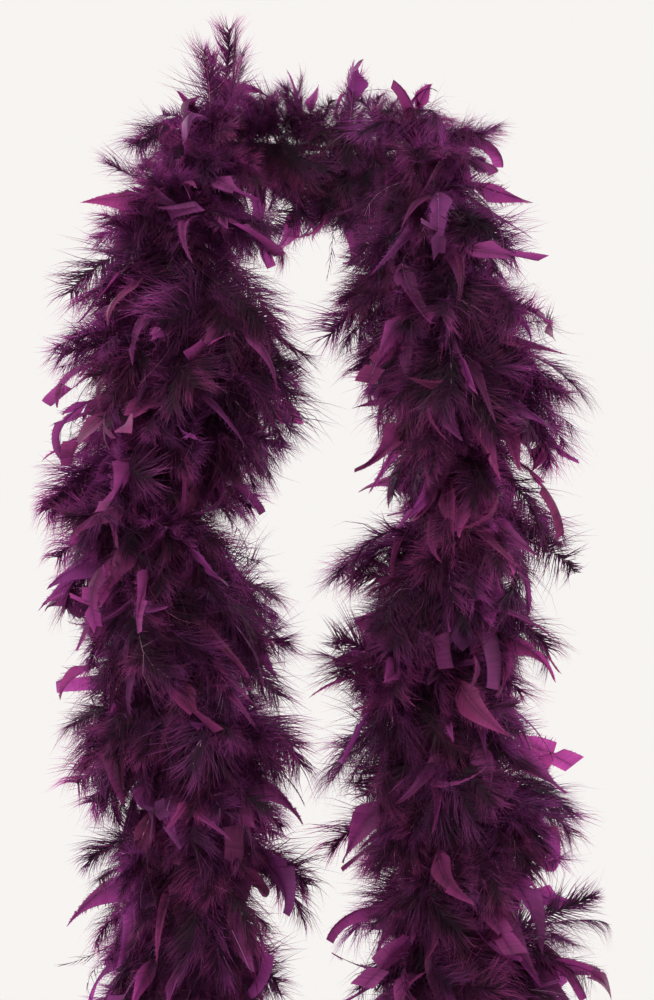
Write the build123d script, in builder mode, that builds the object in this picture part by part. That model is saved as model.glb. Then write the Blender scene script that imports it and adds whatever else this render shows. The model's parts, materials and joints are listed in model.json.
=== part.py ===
from build123d import *
import math
import os
import random

os.makedirs("parts", exist_ok=True)

# ---------------------------------------------------------------- dimensions, mm
PLY_R = 1.0            # each of the two core plies
PLY_OFF = 1.05         # ply centre from the core's centreline
HINGE_GAP = 1.2        # core stops this far each side of a bending point
TUFT_RADII = (58.0, 61.0, 64.0)   # down tufts, three sizes
HUB_HALF = 8.0         # half thickness of a tuft where it is tied
RIM_HALF = 1.5         # half thickness at its rim
BORE_R = 3.0           # tuft bore round the core and its thread
WRAP_IN, WRAP_OUT, WRAP_HALF = 2.3, 2.8, 5.0   # binding thread turns at each tuft
BLADE_T = 0.5          # flat feather thickness
QUILL_R = 0.6
QUILL_START = 4.0
BLADES = ((70.0, 15.0), (76.0, 17.0), (83.0, 12.0))   # tip radius, width
BLADES_PER_TUFT = 6
KNOT_R, KNOT_H = 4.2, 9.0
LOOP_R, LOOP_HALF, LOOP_LONG = 1.0, 4.0, 22.0
NECK_R = 57.0          # wearer's neck, its back at the origin
NECK_LOW, NECK_HIGH = -66.0, 100.0

# Centreline of the core: nape first, then outward down each tail. +Z up, -Y is
# the wearer's front, the origin is on the back of the wearer's neck.
NAPE = (0.0, 31.0, 4.0)
LEFT = [
    (-42, 20, 6), (-72, -14, 3), (-83, -55, -18), (-88, -88, -52), (-93, -108, -96),
    (-99, -118, -144), (-106, -122, -192), (-111, -123, -240), (-113, -122, -288),
    (-110, -123, -336), (-104, -122, -384), (-99, -123, -432), (-94, -122, -480),
    (-92, -123, -528), (-94, -122, -576), (-98, -123, -624), (-101, -122, -672),
    (-100, -123, -720), (-97, -122, -768),
]
LEFT_END = (-96, -122, -784)
RIGHT = [
    (44, 20, 5), (76, -14, -1), (88, -55, -22), (89, -88, -58), (92, -108, -102),
    (99, -118, -150), (108, -122, -198), (114, -123, -246), (115, -122, -294),
    (110, -123, -342), (104, -122, -390), (101, -123, -438), (104, -122, -486),
    (109, -123, -534), (115, -122, -582), (122, -123, -630), (129, -122, -678),
    (133, -123, -726), (133, -122, -774),
]
RIGHT_END = (132, -122, -790)

LAST_NECK = 7                       # tufts 0..7 each side belong to the neck section
TAIL_CUTS = ((8, 10), (11, 13), (14, 16), (17, 19))
TAIL_NAMES = ("upper", "middle", "lower", "end")

# ---------------------------------------------------------------- route geometry
CORNERS = {0: Vector(*NAPE)}
for n, p in enumerate(LEFT, 1):
    CORNERS[-n] = Vector(*p)
for n, p in enumerate(RIGHT, 1):
    CORNERS[n] = Vector(*p)
CORNERS[-20] = Vector(*LEFT_END)
CORNERS[20] = Vector(*RIGHT_END)


def turn_of(i):
    a = (CORNERS[i] - CORNERS[i - 1]).normalized()
    b = (CORNERS[i + 1] - CORNERS[i]).normalized()
    return a, b, math.radians(a.get_angle(b))


def radius_of(i):
    a, b, turn = turn_of(i)
    run = min((CORNERS[i] - CORNERS[i - 1]).length, (CORNERS[i + 1] - CORNERS[i]).length)
    return 0.45 * run / math.tan(turn / 2)


def tuft_frame(i):
    """Centre of the tuft tied at corner i and the core's direction there, away from the nape."""
    a, b, turn = turn_of(i)
    r = radius_of(i)
    centre = CORNERS[i] + (b - a).normalized() * (r / math.cos(turn / 2) - r)
    along = (a + b).normalized()
    return centre, (along if i >= 0 else along * -1)


def pivot(i, j):
    return (CORNERS[i] + CORNERS[j]) * 0.5


def stretch(first, last, start, stop):
    """Core line through corners first..last, from start to stop, with its corner radii."""
    step = 1 if last >= first else -1
    points = [start] + [CORNERS[k] for k in range(first, last + step, step)] + [stop]
    radii = [radius_of(k) for k in range(first, last + step, step)]
    return points, radii


def core_ply(label, route, side):
    points, radii = route
    with BuildPart() as ply:
        with BuildLine() as line:
            core = FilletPolyline(*points, radius=radii)
        start = Plane(origin=core @ 0, x_dir=(0, 1, 0), z_dir=core % 0)
        with BuildSketch(start):
            with Locations((side * PLY_OFF, 0)):
                Circle(PLY_R)
        sweep()
    ply.part.label = label
    export_step(ply.part, f"parts/{label}.step")
    got, ideal = ply.part.volume, math.pi * PLY_R**2 * core.length
    print(f"{label}: length {core.length:.1f}, volume {got:.1f} / {ideal:.1f}, radii {min(radii):.0f}..{max(radii):.0f}")
    return core.length


# ---------------------------------------------------------------- repeated shapes
TUFTS = []
for tuft_r in TUFT_RADII:
    with BuildPart() as tuft:
        with BuildSketch(Plane.XZ):
            Polygon(
                (BORE_R, -HUB_HALF), (tuft_r, -RIM_HALF), (tuft_r, RIM_HALF), (BORE_R, HUB_HALF),
                align=None,
            )
        revolve(axis=Axis.Z)
    TUFTS.append(tuft.part)

BLADE_SHAPES = []
for reach, width in BLADES:
    with BuildPart() as blade:
        with BuildSketch(Plane.XY.offset(-BLADE_T / 2)):
            with BuildLine():
                low = ThreePointArc((16, -0.5), (reach * 0.62, -width / 2), (reach, 0))
                ThreePointArc((reach, 0), (reach * 0.62, width / 2), (16, 0.5))
                Line((16, 0.5), (16, -0.5))
            make_face()
        extrude(amount=BLADE_T)
        with BuildSketch(Plane.YZ.offset(QUILL_START)):
            Circle(QUILL_R)
        extrude(amount=18 - QUILL_START)
    BLADE_SHAPES.append(blade.part)

with BuildPart() as wrap_shape:
    Cylinder(WRAP_OUT, 2 * WRAP_HALF)
    Cylinder(WRAP_IN, 2 * WRAP_HALF, mode=Mode.SUBTRACT)
WRAP = wrap_shape.part

SLOPE = math.atan((HUB_HALF - RIM_HALF) / (TUFT_RADII[-1] - BORE_R))


def cross_axes(t):
    side = Vector(1, 0, 0) if abs(t.X) < 0.8 else Vector(0, 1, 0)
    e1 = (side - t * side.dot(t)).normalized()
    return e1, t.cross(e1)


def size_of(i):
    return (i * 5 + 2) % 3


def blade_places(i):
    """(shape number, location) of each flat feather tied at tuft i, lying along the tuft's outer face."""
    rnd = random.Random(1000 + i)
    centre, t = tuft_frame(i)
    e1, e2 = cross_axes(t)
    turn0 = rnd.uniform(0, 60)
    inward = Vector(1, 0, 0) if i < 0 else Vector(-1, 0, 0)
    out = []
    for n in range(BLADES_PER_TUFT):
        angle = math.radians(turn0 + 60 * n + rnd.uniform(-9, 9))
        radial = e1 * math.cos(angle) + e2 * math.sin(angle)
        shape = rnd.choice((0, 1, 2))
        if abs(i) > LAST_NECK and radial.dot(inward) > 0.5:
            shape = 0
        x_dir = radial * math.cos(SLOPE) - t * math.sin(SLOPE)
        z_dir = t * math.cos(SLOPE) + radial * math.sin(SLOPE)
        origin = centre + t * (HUB_HALF + 1.8)
        clear = True
        for reach in (20, 35, 50, BLADES[shape][0]):
            p = origin + x_dir * reach
            near = math.hypot(p.X, p.Y + NECK_R) < NECK_R + 9
            if near and NECK_LOW - 6 < p.Z < NECK_HIGH:
                clear = False
        if clear:
            out.append((shape, Plane(origin=origin, x_dir=x_dir, z_dir=z_dir).location))
    return out


def make_tufts(label, numbers, by_neck=False):
    with BuildPart() as tufts:
        for i in numbers:
            centre, t = tuft_frame(i)
            with Locations(Plane(origin=centre, x_dir=cross_axes(t)[0], z_dir=t).location):
                add(TUFTS[size_of(i)])
        if by_neck:
            with Locations((0, -NECK_R, (NECK_LOW + NECK_HIGH) / 2)):
                Cylinder(NECK_R, NECK_HIGH - NECK_LOW, mode=Mode.SUBTRACT)
    tufts.part.label = label
    export_step(tufts.part, f"parts/{label}.step")


def make_blades(label, numbers):
    with BuildPart() as blades:
        for i in numbers:
            for shape, place in blade_places(i):
                with Locations(place):
                    add(BLADE_SHAPES[shape])
    blades.part.label = label
    export_step(blades.part, f"parts/{label}.step")


def make_wraps(label, numbers):
    with BuildPart() as wraps:
        for i in numbers:
            centre, t = tuft_frame(i)
            with Locations(Plane(origin=centre, x_dir=cross_axes(t)[0], z_dir=t).location):
                add(WRAP)
    wraps.part.label = label
    export_step(wraps.part, f"parts/{label}.step")


# ---------------------------------------------------------------- neck section
total = 0.0
t_left = (CORNERS[-LAST_NECK] - CORNERS[-LAST_NECK - 1]).normalized()
t_right = (CORNERS[LAST_NECK + 1] - CORNERS[LAST_NECK]).normalized()
neck_route = stretch(
    -LAST_NECK, LAST_NECK,
    pivot(-LAST_NECK, -LAST_NECK - 1) + t_left * HINGE_GAP,
    pivot(LAST_NECK, LAST_NECK + 1) - t_right * HINGE_GAP,
)
total += core_ply("core_ply_a_neck", neck_route, 1)
core_ply("core_ply_b_neck", neck_route, -1)
make_wraps("binding_thread_neck", range(-LAST_NECK, LAST_NECK + 1))
make_tufts("down_tufts_nape", range(-2, 3), by_neck=True)
make_tufts("down_tufts_left_shoulder", range(-LAST_NECK, -2), by_neck=True)
make_tufts("down_tufts_right_shoulder", range(3, LAST_NECK + 1), by_neck=True)
make_blades("flat_feathers_nape", range(-2, 3))
make_blades("flat_feathers_left_shoulder", range(-LAST_NECK, -2))
make_blades("flat_feathers_right_shoulder", range(3, LAST_NECK + 1))

# ---------------------------------------------------------------- tails
for side, sign in (("left", -1), ("right", 1)):
    for name, (first, last) in zip(TAIL_NAMES, TAIL_CUTS):
        a, b = sign * first, sign * last
        t_in = (CORNERS[a] - CORNERS[a - sign]).normalized()
        start = pivot(a, a - sign) + t_in * HINGE_GAP
        if last == 19:
            stop = CORNERS[b + sign]
        else:
            t_out = (CORNERS[b + sign] - CORNERS[b]).normalized()
            stop = pivot(b, b + sign) - t_out * HINGE_GAP
        route = stretch(a, b, start, stop)
        total += core_ply(f"core_ply_a_{side}_{name}", route, 1)
        core_ply(f"core_ply_b_{side}_{name}", route, -1)
        numbers = [sign * n for n in range(first, last + 1)]
        make_wraps(f"binding_thread_{side}_{name}", numbers)
        make_tufts(f"down_tufts_{side}_{name}", numbers)
        make_blades(f"flat_feathers_{side}_{name}", numbers)

    # knot that stops the tufts, and the small hanging loop of the same string below it
    foot = CORNERS[sign * 20]
    down = (foot - CORNERS[sign * 19]).normalized()
    seat = Plane(origin=foot, x_dir=cross_axes(down)[0], z_dir=down)
    with BuildPart() as knot:
        with BuildSketch(seat):
            Circle(KNOT_R * 0.75)
        with BuildSketch(seat.offset(KNOT_H / 2)):
            Circle(KNOT_R)
        with BuildSketch(seat.offset(KNOT_H)):
            Circle(KNOT_R * 0.75)
        loft()
    knot.part.label = f"end_knot_{side}"
    export_step(knot.part, f"parts/end_knot_{side}.step")

    with BuildPart() as loop:
        with BuildLine(Plane(origin=foot + down * KNOT_H, x_dir=seat.x_dir, z_dir=seat.y_dir * -1)) as path:
            thread = FilletPolyline(
                (-1.5, 0), (-1.5, 4), (-LOOP_HALF, LOOP_LONG * 0.55), (-LOOP_HALF, LOOP_LONG),
                (LOOP_HALF, LOOP_LONG), (LOOP_HALF, LOOP_LONG * 0.55), (1.5, 4), (1.5, 0),
                radius=[8, 8, 3.9, 3.9, 8, 8],
            )
        with BuildSketch(Plane(origin=thread @ 0, z_dir=thread % 0)):
            Circle(LOOP_R)
        sweep()
    loop.part.label = f"end_loop_{side}"
    export_step(loop.part, f"parts/end_loop_{side}.step")

for a in range(-19, 20):
    c, t = tuft_frame(a)
    print("tuft", a, [round(x, 1) for x in c], [round(x, 3) for x in t], "R", round(radius_of(a)))
for k in (7, 10, 13, 16):
    print("pivot", k, [round(x, 3) for x in pivot(-k, -k - 1)], [round(x, 3) for x in pivot(k, k + 1)])
print("core length", round(total + 16 * HINGE_GAP, 1))
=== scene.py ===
import json
import math

import bpy
import numpy as np
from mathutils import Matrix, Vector

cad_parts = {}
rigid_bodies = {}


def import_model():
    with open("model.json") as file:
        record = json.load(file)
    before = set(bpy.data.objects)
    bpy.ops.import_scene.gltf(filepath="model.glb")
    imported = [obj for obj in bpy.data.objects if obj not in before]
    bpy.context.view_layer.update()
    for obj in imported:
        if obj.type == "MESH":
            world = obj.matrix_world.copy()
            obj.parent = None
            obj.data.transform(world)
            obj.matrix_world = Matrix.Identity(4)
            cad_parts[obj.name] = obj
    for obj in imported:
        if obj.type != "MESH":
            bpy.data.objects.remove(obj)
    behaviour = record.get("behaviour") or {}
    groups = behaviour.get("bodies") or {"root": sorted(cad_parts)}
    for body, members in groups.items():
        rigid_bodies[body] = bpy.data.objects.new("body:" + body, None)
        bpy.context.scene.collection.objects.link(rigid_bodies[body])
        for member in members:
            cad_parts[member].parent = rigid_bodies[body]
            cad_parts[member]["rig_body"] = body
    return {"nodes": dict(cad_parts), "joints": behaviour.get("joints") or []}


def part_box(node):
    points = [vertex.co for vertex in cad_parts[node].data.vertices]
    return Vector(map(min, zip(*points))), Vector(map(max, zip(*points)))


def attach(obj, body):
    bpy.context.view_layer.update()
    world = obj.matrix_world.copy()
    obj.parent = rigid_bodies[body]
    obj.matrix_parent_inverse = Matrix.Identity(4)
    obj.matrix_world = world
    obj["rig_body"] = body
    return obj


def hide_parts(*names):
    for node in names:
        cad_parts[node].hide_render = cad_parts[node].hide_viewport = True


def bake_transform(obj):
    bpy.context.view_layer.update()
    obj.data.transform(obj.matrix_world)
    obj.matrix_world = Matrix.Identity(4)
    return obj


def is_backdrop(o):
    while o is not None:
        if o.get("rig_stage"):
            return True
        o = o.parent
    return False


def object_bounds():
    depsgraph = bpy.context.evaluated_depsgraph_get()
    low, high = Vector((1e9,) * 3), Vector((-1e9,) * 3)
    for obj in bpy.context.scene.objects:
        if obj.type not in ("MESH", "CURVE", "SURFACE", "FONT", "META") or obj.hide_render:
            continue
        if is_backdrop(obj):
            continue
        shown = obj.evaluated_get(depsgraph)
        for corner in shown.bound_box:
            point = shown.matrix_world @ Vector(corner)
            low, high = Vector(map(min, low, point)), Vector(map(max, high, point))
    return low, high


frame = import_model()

CAD_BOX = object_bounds()
rng = np.random.default_rng(1871)
scene = bpy.context.scene

# ------------------------------------------------------------------ camera
# 0.75 mm to a pixel at the tails, seen square on at chest height
DIST, FRONT_Y, TALL = 2.2, -0.122, 0.75
cam_data = bpy.data.cameras.new("camera")
cam_data.sensor_fit = "VERTICAL"
cam_data.sensor_height = 24.0
cam_data.lens = 24.0 * DIST / TALL
cam_data.clip_start, cam_data.clip_end = 0.05, 60.0
cam = bpy.data.objects.new("camera", cam_data)
scene.collection.objects.link(cam)
cam.location = (0.011, FRONT_Y - DIST, -0.2775)
cam.rotation_euler = (math.radians(90), 0, 0)
scene.camera = cam

# ------------------------------------------------------------------ core route
LEFT = [
    (-42, 20, 6), (-72, -14, 3), (-83, -55, -18), (-88, -88, -52), (-93, -108, -96),
    (-99, -118, -144), (-106, -122, -192), (-111, -123, -240), (-113, -122, -288),
    (-110, -123, -336), (-104, -122, -384), (-99, -123, -432), (-94, -122, -480),
    (-92, -123, -528), (-94, -122, -576), (-98, -123, -624), (-101, -122, -672),
    (-100, -123, -720), (-97, -122, -768), (-96, -122, -784),
]
RIGHT = [
    (44, 20, 5), (76, -14, -1), (88, -55, -22), (89, -88, -58), (92, -108, -102),
    (99, -118, -150), (108, -122, -198), (114, -123, -246), (115, -122, -294),
    (110, -123, -342), (104, -122, -390), (101, -123, -438), (104, -122, -486),
    (109, -123, -534), (115, -122, -582), (122, -123, -630), (129, -122, -678),
    (133, -123, -726), (133, -122, -774), (132, -122, -790),
]
ROUTE = [tuple(c / 1000 for c in p) for p in LEFT[::-1] + [(0.0, 31.0, 4.0)] + RIGHT]


def read_spline(points, resolution=16):
    """Points along the NURBS spline whose control points these are."""
    cu = bpy.data.curves.new("route", "CURVE")
    cu.dimensions = "3D"
    sp = cu.splines.new("NURBS")
    sp.points.add(len(points) - 1)
    for q, p in zip(sp.points, points):
        q.co = (*p, 1.0)
    sp.order_u = 3
    sp.use_endpoint_u = True
    sp.resolution_u = resolution
    ob = bpy.data.objects.new("route", cu)
    me = bpy.data.meshes.new_from_object(ob)
    out = np.array([v.co[:] for v in me.vertices])
    bpy.data.objects.remove(ob)
    bpy.data.curves.remove(cu)
    bpy.data.meshes.remove(me)
    return out


PATH = read_spline(ROUTE)
STEP = np.linalg.norm(np.diff(PATH, axis=0), axis=1)
ARC = np.concatenate([[0.0], np.cumsum(STEP)])
LENGTH = float(ARC[-1])
NAPE_S = float(ARC[np.argmin(np.linalg.norm(PATH - np.array([0.0, 0.0285, 0.0043]), axis=1))])


def at(s):
    return np.stack([np.interp(s, ARC, PATH[:, k]) for k in range(3)], -1)


def unit(v):
    return v / np.maximum(np.linalg.norm(v, axis=-1, keepdims=True), 1e-12)


def along(s):
    return unit(at(np.asarray(s) + 0.004) - at(np.asarray(s) - 0.004))


def nearest_s(p):
    fine = np.linspace(0, LENGTH, 8000)
    return float(fine[np.argmin(np.linalg.norm(at(fine) - np.array(p), axis=1))])


JOINTS = {j["child"]: j for j in frame["joints"]} if isinstance(frame["joints"], list) else {
    j["child"]: j for j in frame["joints"].values()}
TAILS = ("upper", "middle", "lower", "end")
CUTS = {}
for side in ("left", "right"):
    for name in TAILS:
        CUTS[f"{side}_tail_{name}"] = nearest_s(JOINTS[f"{side}_tail_{name}"]["pos_m"])
# body and its stretch of the core, from the left end to the right end
ORDER = [f"left_tail_{n}" for n in TAILS[::-1]] + ["neck_section"] + [f"right_tail_{n}" for n in TAILS]
EDGES = [0.0] + [CUTS[f"left_tail_{n}"] for n in TAILS[::-1]] + [CUTS[f"right_tail_{n}"] for n in TAILS] + [LENGTH]
SPANS = {b: (EDGES[i], EDGES[i + 1]) for i, b in enumerate(ORDER)}


def body_at(s):
    return ORDER[int(np.clip(np.searchsorted(EDGES, s, side="right") - 1, 0, len(ORDER) - 1))]


# ------------------------------------------------------------------ how full it is, mm from the core
# heights below the nape, then reach to the outer side and to the inner side of each tail
LEVELS = np.array([-70, -37, -67, -97, -127, -157, -187, -217, -247, -277, -307, -337, -367, -397, -427,
                   -457, -487, -517, -547, -577, -607, -637, -700, -790][1:]) / -1000.0
L_OUT = [75, 110, 106, 92, 96, 94, 110, 101, 66, 98, 92, 44, 90, 96, 79, 40, 68, 68, 73, 61, 77, 79, 73]
L_IN = [67, 97, 112, 105, 107, 101, 79, 41, 93, 102, 108, 93, 108, 102, 73, 72, 58, 67, 77, 87, 65, 80, 74]
R_OUT = [40, 45, 53, 53, 112, 97, 40, 50, 64, 47, 84, 41, 50, 82, 61, 96, 62, 40, 59, 95, 74, 83, 75]
R_IN = [78, 96, 106, 76, 59, 74, 103, 61, 58, 84, 104, 106, 103, 107, 85, 80, 100, 105, 84, 84, 109, 82, 76]


NECK_AXIS = np.array([0.0, -0.057])


def wave(x, seed, n=5, scale=1.0):
    g = np.random.default_rng(seed)
    a, f, p = g.normal(size=n), g.uniform(6, 34, n) * scale, g.uniform(0, 6.28, n)
    return sum(a[k] * np.sin(f[k] * x + p[k]) for k in range(n)) / math.sqrt(n)


def reach_at(s, radial):
    """How far the down should reach from the core, in metres, in each direction."""
    p = at(s)
    depth = -p[:, 2]
    left = s < NAPE_S
    out = np.where(left, np.interp(depth, LEVELS, L_OUT), np.interp(depth, LEVELS, R_OUT))
    inn = np.where(left, np.interp(depth, LEVELS, L_IN), np.interp(depth, LEVELS, R_IN))
    side = radial[:, 0] * np.where(left, -1, 1)          # +1 outward
    other = 69 + 7 * wave(s, 5)
    r = np.where(side > 0, out, inn)
    w = side**2
    r = r * w + other * (1 - w)
    on_tail = np.clip((depth - 0.02) / 0.03, 0, 1)
    up = np.clip(radial[:, 2], 0, 1)
    bunch = np.exp(-(((p[:, 1] + 0.034) / 0.027) ** 2))
    high_side = np.where(left, 46 + 38 * bunch, 48 + 18 * bunch)
    round_neck = np.where(left, 36, 48) * (1 - up) + high_side * up + 3 * wave(s, 9)
    round_neck = np.where(np.abs(s - NAPE_S) < 0.045, 54.0, round_neck)
    r = (r * on_tail + round_neck * (1 - on_tail) - 5.5) / 1000
    # beside the neck there is only room for short down
    away = p[:, :2] - NECK_AXIS
    rho = np.linalg.norm(away, axis=1)
    facing = -(radial[:, :2] * away).sum(1) / np.maximum(rho, 1e-4)
    beside = np.clip((p[:, 2] + 0.085) / 0.03, 0, 1)
    room = (rho - 0.050) / np.maximum(facing, 0.15)
    return np.where(facing > 0.15, r * (1 - beside) + np.minimum(r, room) * beside, r)


# ------------------------------------------------------------------ mesh bookkeeping
def make_mesh(name, verts, quads, tris, uvq, uvt, smooth=True):
    """verts (n,3); quads (a,4), tris (b,3) with one uv per corner."""
    me = bpy.data.meshes.new(name)
    nq, nt = len(quads), len(tris)
    me.vertices.add(len(verts))
    me.vertices.foreach_set("co", verts.astype(np.float32).ravel())
    loops = np.concatenate([quads.ravel(), tris.ravel()]).astype(np.int32)
    me.loops.add(len(loops))
    me.loops.foreach_set("vertex_index", loops)
    me.polygons.add(nq + nt)
    starts = np.concatenate([np.arange(nq) * 4, nq * 4 + np.arange(nt) * 3]).astype(np.int32)
    me.polygons.foreach_set("loop_start", starts)
    layer = me.uv_layers.new(name="OFBake", do_init=False)
    uv = np.concatenate([uvq.reshape(-1, 2), uvt.reshape(-1, 2)]).astype(np.float32)
    layer.uv.foreach_set("vector", uv.ravel())
    me.update(calc_edges=True)
    me.polygons.foreach_set("use_smooth", np.full(nq + nt, smooth))
    me.validate()
    ob = bpy.data.objects.new(name, me)
    scene.collection.objects.link(ob)
    return ob


class Proto:
    """One feather along +X from its quill's end, flat in XY, with local UVs in 0..1."""

    def __init__(self):
        self.v, self.q, self.t, self.uq, self.ut, self.n = [], [], [], [], [], 0

    def add(self, v, q, uq, t, ut):
        self.v.append(v)
        if len(q):
            self.q.append(q + self.n)
            self.uq.append(uq)
        if len(t):
            self.t.append(t + self.n)
            self.ut.append(ut)
        self.n += len(v)

    def done(self):
        self.v = np.concatenate(self.v)
        self.q = np.concatenate(self.q) if self.q else np.zeros((0, 4), int)
        self.t = np.concatenate(self.t) if self.t else np.zeros((0, 3), int)
        self.uq = np.concatenate(self.uq) if self.uq else np.zeros((0, 4, 2))
        self.ut = np.concatenate(self.ut) if self.ut else np.zeros((0, 3, 2))
        return self


def ribbons(p0, d0, bend, length, width, facing, u, v0=0.02, v1=0.48, segments=4):
    """Tapered hairs: start, direction, bend vector, length, width and the way each faces."""
    n = len(p0)
    s = np.linspace(0, 1, segments + 1)
    norm = 1 / np.sqrt(1 + (bend**2).sum(1) / 3)
    pts = p0[:, None] + (length * norm)[:, None, None] * (
        d0[:, None] * s[None, :, None] + 0.5 * bend[:, None] * (s**2)[None, :, None])
    tang = unit(d0[:, None] + bend[:, None] * s[None, :, None])
    across = unit(np.cross(tang, facing[:, None]))
    w = width[:, None] * (0.62 * (1 - s[None, :]) ** 1.7 + 0.38 * (1 - s[None, :] ** 2.2)) * 0.5
    a = pts + across * w[..., None]
    b = pts - across * w[..., None]
    k = segments
    verts = np.concatenate([np.stack([a[:, :k], b[:, :k]], 2).reshape(n, 2 * k, 3), pts[:, k:]], 1)
    per = 2 * k + 1
    base = (np.arange(n) * per)[:, None, None]
    qq = np.array([[2 * i, 2 * i + 1, 2 * i + 3, 2 * i + 2] for i in range(k - 1)])
    tt = np.array([[2 * k - 2, 2 * k - 1, 2 * k]])
    quads = (base + qq[None]).reshape(-1, 4)
    tris = (base + tt[None]).reshape(-1, 3)
    vv = v0 + (v1 - v0) * s
    du = 0.012
    uvv = np.empty((n, per, 2))
    for i in range(k):
        uvv[:, 2 * i] = np.stack([u - du, np.full(n, vv[i])], 1)
        uvv[:, 2 * i + 1] = np.stack([u + du, np.full(n, vv[i])], 1)
    uvv[:, 2 * k] = np.stack([u, np.full(n, vv[k])], 1)
    uvq = uvv[:, qq].reshape(-1, 4, 2)
    uvt = uvv[:, tt].reshape(-1, 3, 2)
    return verts.reshape(-1, 3), quads, uvq, tris, uvt


def shaft(xs, ys, zs, r0, r1):
    """Three-sided tapered quill."""
    n = len(xs)
    s = np.linspace(0, 1, n)
    r = r0 + (r1 - r0) * s**0.8
    ang = np.array([90, 210, 330]) * math.pi / 180
    ring = np.stack([np.zeros(3), np.cos(ang), np.sin(ang)], 1)
    c = np.stack([xs, ys, zs], 1)
    verts = (c[:, None] + ring[None] * r[:, None, None]).reshape(-1, 3)
    quads, uv = [], []
    for i in range(n - 1):
        for j in range(3):
            quads.append([3 * i + j, 3 * i + (j + 1) % 3, 3 * i + 3 + (j + 1) % 3, 3 * i + 3 + j])
            a0, a1 = 0.02 + 0.96 * s[i], 0.02 + 0.96 * s[i + 1]
            b0, b1 = 0.915 + 0.02 * j, 0.93 + 0.02 * j
            uv.append([[a0, b0], [a0, b1], [a1, b1], [a1, b0]])
    return verts, np.array(quads), np.array(uv), np.zeros((0, 3), int), np.zeros((0, 3, 2))


def barbs(f, g, line, t, side, length, width, open_deg, close_deg, cup, wave_amp, v1=0.48, fuzz=1.0, segments=3, v0=0.02):
    """One side's barbs: they leave the quill together, sweep forward, and cling in small groups."""
    n = len(t)
    group = np.cumsum(g.uniform(0, 1, n) < 0.17)
    pick = lambda lo, hi: g.uniform(lo, hi, group.max() + 1)[group]
    ph = g.uniform(0, 6.28)
    p0 = line(t)
    alpha = np.radians(open_deg + (close_deg - open_deg) * np.clip(t, 0, 1) ** 1.2)
    first = np.searchsorted(group, np.arange(group.max() + 1))
    count = np.maximum(np.bincount(group), 1)
    within = (np.arange(n) - first[group]) / count[group] - 0.5
    alpha = alpha + pick(-0.20, 0.20) * fuzz + g.normal(0, 0.07, n) * fuzz + 0.10 * within * np.minimum(count[group] / 5, 1.4)
    lift = cup + wave_amp * np.sin(4.1 * t + ph) + pick(-0.20, 0.20) * fuzz + g.normal(0, 0.09, n) * fuzz
    d0 = np.stack([np.cos(alpha) * np.cos(lift), side * np.sin(alpha) * np.cos(lift), np.sin(lift)], 1)
    out_of_plane = -0.55 * lift + 0.35 * np.sin(3.0 * t + 2 * ph) + pick(-0.18, 0.18) * fuzz
    bend = np.stack([0.45 + pick(-0.35, 0.50) + g.normal(0, 0.18, n), pick(-0.16, 0.16), out_of_plane], 1)
    bend += g.normal(0, 0.14, (n, 3)) * fuzz
    bend -= d0 * (bend * d0).sum(1, keepdims=True)
    length = length * pick(0.78, 1.18) * g.uniform(0.56, 1.14, n)
    width = width * g.uniform(0.8, 1.2, n)
    face = unit(np.array([0, 0, 1.0])[None] + g.normal(0, 0.30, (n, 3)))
    for part, k in ((slice(0, None, 3), segments), (slice(1, None, 3), segments - 1), (slice(2, None, 3), segments - 1)):
        f.add(*ribbons(p0[part], d0[part], bend[part], length[part], width[part], face[part],
                       t[part] * 0.94 + 0.03, v0, v1, k))


def plume(g, wispy):
    """Down feather: its length is 1, with barbs all the way up."""
    f = Proto()
    sway, arch = g.normal(0, 0.07), g.normal(0, 0.07)
    ph = g.uniform(0, 6.28)

    def line(x):
        return np.stack([x, sway * np.sin(3.1 * x + ph) * x, arch * np.sin(2.6 * x + ph) * x], -1)

    xs = np.linspace(0, 1, 8)
    c = line(xs)
    f.add(*shaft(c[:, 0], c[:, 1], c[:, 2], 0.0075, 0.0016))
    per_side = int(g.integers(74, 82)) if wispy else int(g.integers(108, 116))
    cup, wave_amp = g.uniform(-0.25, 0.55), g.uniform(0.05, 0.30)
    fan = g.uniform(0, 1)
    tip_cut = 0.42 - 0.36 * fan
    for side in (-1, 1):
        t = 0.10 + 0.90 * ((np.arange(per_side) + g.uniform(0.1, 0.9, per_side)) / per_side) ** 0.68
        t = np.minimum(t, 0.997)
        length = (0.31 + 0.13 * np.sin(np.pi * t**0.8)) * (1 - tip_cut * np.clip((t - 0.80) / 0.2, 0, 1))
        if wispy:
            length = length * 1.12
        barbs(f, g, line, t, side, length, 0.0068 if wispy else 0.0088, g.uniform(64, 84), 16 + 30 * fan,
              cup, wave_amp, fuzz=2.0 if wispy else 1.5)
        # three thin barbs a side in the 0.966–0.990 band of the cell, which the material paints pale as painted
        # highlights
        n = 3
        barbs(f, g, line, g.uniform(0.35, 0.97, n), side, np.full(n, 0.36), 0.0042, 60, 30, cup, wave_amp,
              fuzz=2.0, v0=0.966, v1=0.990)
    return f.done()


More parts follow.
